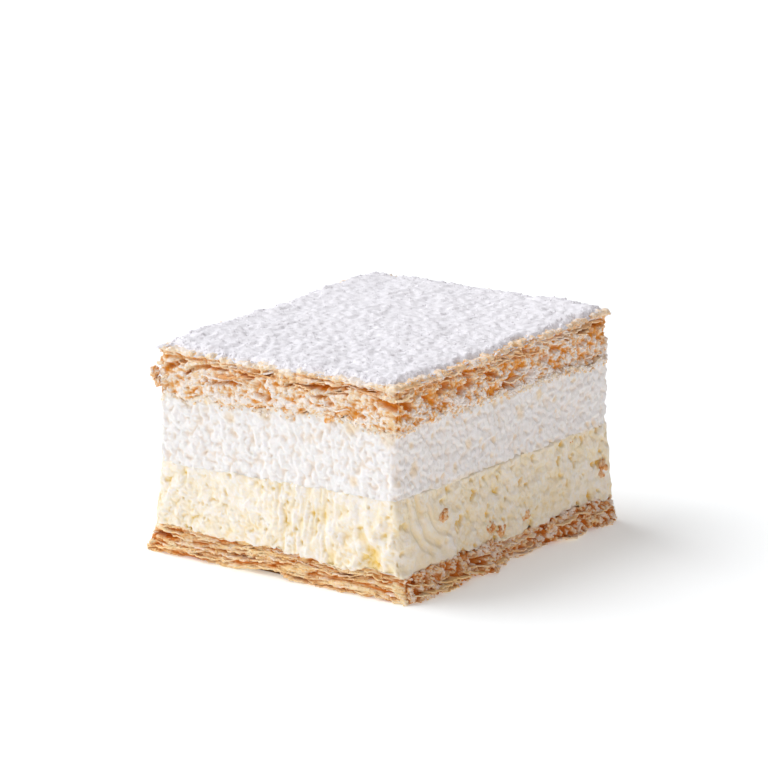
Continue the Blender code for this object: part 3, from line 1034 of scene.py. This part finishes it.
def buildCrumbs(name, layer, spots, deep, material):
    bm, marks = startPiece(("cavity_shade", "dust"))
    for number, (along, tall, radius, turn, stand) in enumerate(spots):
        share = shareAt(along)
        place = sideAt(layer, share, 0.5)[0]
        floor, ceiling = footAndHead(layer, place)
        run = layer["under"] + clamp((tall * mm - floor) / (ceiling - floor)) * layer["tall"]
        centre, facing = placeOnLayer(layer, share, run)[::2]
        facing.z = 0
        around = facing.to_track_quat("X", "Z").to_matrix()
        verts = bmesh.ops.create_icosphere(bm, subdivisions=4, radius=radius * mm)["verts"]
        for vert in verts:
            way = vert.co.normalized()
            lump, gap = lumps(vert.co + Vector((number, 0, 0)), 1.1, 95)
            bulge = 1 + 0.55 * waves(vert.co, 1.5, 96 + number) + 0.2 * lump
            bulge += 0.25 * waves(vert.co, 0.6, 97)
            flat = Matrix.Rotation(turn, 3, "X") @ (way * Vector(crumbPiece["flatten"]))
            vert.co = centre + facing * stand * mm + around @ flat * radius * bulge * mm
            # the cavity mark is painted shade in the gaps between lumps, over the crumb's own toasted tone
            # from deep
            vert[marks[0]] = clamp(deep - 0.6 * lump + 0.3 * gap - 0.4 * waves(vert.co, 0.9, 98))
            vert[marks[1]] = clamp(0.7 - deep + 0.3 * lump)
    return makeObject(name, bm, material)


# camera, light and floor

cameraSetup = {
    "azimuth": 36.3, "elevation": 14.7, "distance": 1.178, "lens": 234.4,
    "fromNearEdge": (-4.4 * mm, 1.4 * mm), "targetHeight": 53.0 * mm,
}


def makeCamera():
    turn = math.radians(cameraSetup["azimuth"])
    tip = math.radians(cameraSetup["elevation"])
    back = Vector((math.sin(turn) * math.cos(tip), -math.cos(turn) * math.cos(tip), math.sin(tip)))
    offset = cameraSetup["fromNearEdge"]
    target = Vector((creamHigh.x + offset[0], creamLow.y + offset[1], cameraSetup["targetHeight"]))
    data = bpy.data.cameras.new("camera")
    data.lens = cameraSetup["lens"]
    data.sensor_width = 36
    data.clip_start, data.clip_end = 0.01, 20
    camera = bpy.data.objects.new("camera", data)
    camera.location = target + back * cameraSetup["distance"]
    camera.rotation_mode = "QUATERNION"
    camera.rotation_quaternion = (-back).to_track_quat("-Z", "Y")
    bpy.context.scene.camera = addToScene(camera)


studio = {
    "world": 0.28, "worldColour": (1.0, 1.0, 1.0, 1), "backdrop": (1.0, 1.0, 1.0, 1),
    "left": {"from": (-0.63, -0.13, 0.76), "spread": 52, "strength": 2.5},
    "front": {"from": (-0.42, -0.84, 0.34), "spread": 36, "strength": 0.52},
    "fill": {"from": (1.0, -0.45, 0.13), "size": 0.7, "power": 1.75, "colour": (1.0, 0.72, 0.64)},
    "floor": (0.905, 0.93, 0.95, 1), "floorGlow": 0.25, "floorSize": 6, "lightDistance": 1.1,
}


def aimLight(name, data, way):
    light = bpy.data.objects.new(name, data)
    light.location = Vector(way).normalized() * studio["lightDistance"]
    light.rotation_mode = "QUATERNION"
    light.rotation_quaternion = (-light.location).to_track_quat("-Z", "Y")
    addToScene(light)


def makeStudio():
    world = bpy.data.worlds.new("studio")
    world.use_nodes = True
    tree = world.node_tree
    background = tree.nodes["Background"]
    setSockets(background, {"Color": studio["worldColour"], "Strength": studio["world"]})
    backdrop = nodeAt(tree, "ShaderNodeBackground", 0, -200)
    setSockets(backdrop, {"Color": studio["backdrop"]})
    seen = nodeAt(tree, "ShaderNodeLightPath", 0, 400)
    both = nodeAt(tree, "ShaderNodeMixShader", 250, 0)
    tree.links.new(seen.outputs["Is Camera Ray"], both.inputs[0])
    tree.links.new(background.outputs[0], both.inputs[1])
    tree.links.new(backdrop.outputs[0], both.inputs[2])
    tree.links.new(both.outputs[0], tree.nodes["World Output"].inputs["Surface"])
    bpy.context.scene.world = world
    for side in ("left", "front"):
        sun = bpy.data.lights.new("soft " + side, "SUN")
        sun.angle = math.radians(studio[side]["spread"])
        sun.energy = studio[side]["strength"]
        aimLight("soft " + side, sun, studio[side]["from"])
    fill = bpy.data.lights.new("fill", "AREA")
    fill.size, fill.energy, fill.color = (studio["fill"][key] for key in ("size", "power", "colour"))
    aimLight("fill", fill, studio["fill"]["from"])
    bm = bmesh.new()
    bmesh.ops.create_grid(bm, x_segments=1, y_segments=1, size=studio["floorSize"])
    material = bpy.data.materials.new("studio floor")
    material.use_nodes = True
    setSockets(material.node_tree.nodes["Principled BSDF"], {
        "Base Color": studio["floor"], "Roughness": 0.9, "Specular IOR Level": 0.1,
        "Emission Color": (1, 1, 1, 1), "Emission Strength": studio["floorGlow"]})
    makeObject("floor", bm, material, smooth=False)
    bpy.context.scene.view_settings.view_transform = "Standard"


makeCamera()
makeStudio()
print("camera and studio are ready")

basePastry = makeMaterial("baked pastry", baseLook)
lidPastry = makeMaterial("sugared pastry", lidLook)
sugar = makeMaterial("powdered sugar", sugarLook)
custard = makeMaterial("vanilla custard", custardLook)
cream = makeMaterial("whipped cream", creamLook)

standsFor("bottom_pastry", buildLayer("bottom_sheet", basePiece, basePastry))
standsFor("bottom_pastry", buildLeaves("bottom_leaves", basePiece, baseLeaves, basePastry))
standsFor("custard", buildLayer("custard_layer", custardPiece, custard))
standsFor("whipped_cream", buildLayer("cream_layer", creamPiece, cream))
standsFor("top_pastry", buildLayer("top_sheet", lidPiece, lidPastry))
for name, sheaf in (("top_edge", lidEdge), ("top_inner_leaves", lidInner), ("top_lower_leaves", lidLower)):
    standsFor("top_pastry", buildLeaves(name, lidPiece, sheaf, lidPastry))
print("layers are built")

standsFor("top_pastry", buildCurls(lidPastry))
standsFor("top_pastry", buildSugar(sugar))
standsFor("top_pastry", buildGrains("sugar_grains", sugarGrains(), (), sugar, 0.15))
topSpots = sideGrains(lidPiece, lidBits) + sideGrains(creamPiece, seamBits)
standsFor("top_pastry", buildGrains("top_bits", topSpots, lidPiece["marks"], lidPastry))
baseSpots = sideGrains(basePiece, baseBits)
standsFor("bottom_pastry", buildGrains("bottom_bits", baseSpots, basePiece["marks"], basePastry))
for node, name, layer, spots, deep, pastry in (
        ("custard", "toasted_crumbs", custardPiece, crumbPiece["custard"], 0.4, basePastry),
        ("top_pastry", "top_crumbs", lidPiece, crumbPiece["lid"], 0.3, lidPastry),
        ("bottom_pastry", "bottom_crumbs", basePiece, crumbPiece["base"], 0.3, basePastry)):
    standsFor(node, buildCrumbs(name, layer, spots, deep, pastry))
print("sugar and crumbs are on")
